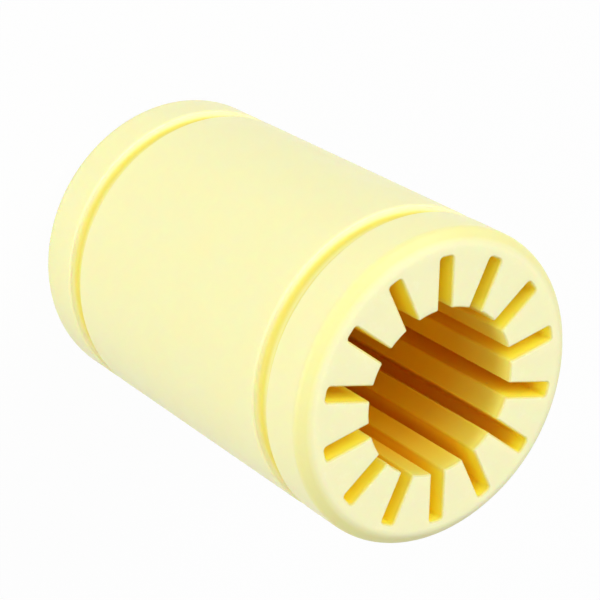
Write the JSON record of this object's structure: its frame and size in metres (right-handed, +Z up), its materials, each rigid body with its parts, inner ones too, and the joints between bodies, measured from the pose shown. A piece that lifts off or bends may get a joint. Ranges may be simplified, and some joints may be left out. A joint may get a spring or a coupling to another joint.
{
  "type": "polymer linear bearing",
  "caption": "Solid polymer sleeve bearing that slides along a round shaft on flat-tipped pads between lengthwise slots, with retaining ring grooves near its chamfered ends.",
  "frame": {"origin": "middle of the lower end face, on the bore axis", "axes": "+Z up along the bore axis, +X along the middle of one slot; the part stands on one end"},
  "size_m": [0.019, 0.019, 0.029],
  "materials": {
    "bearing_polymer": "pale yellow self-lubricating bearing plastic, satin from the mould, a little translucent at thin edges"
  },
  "bodies": {
    "root": {"bearing_sleeve": "bearing_polymer"}
  },
  "joints": []
}
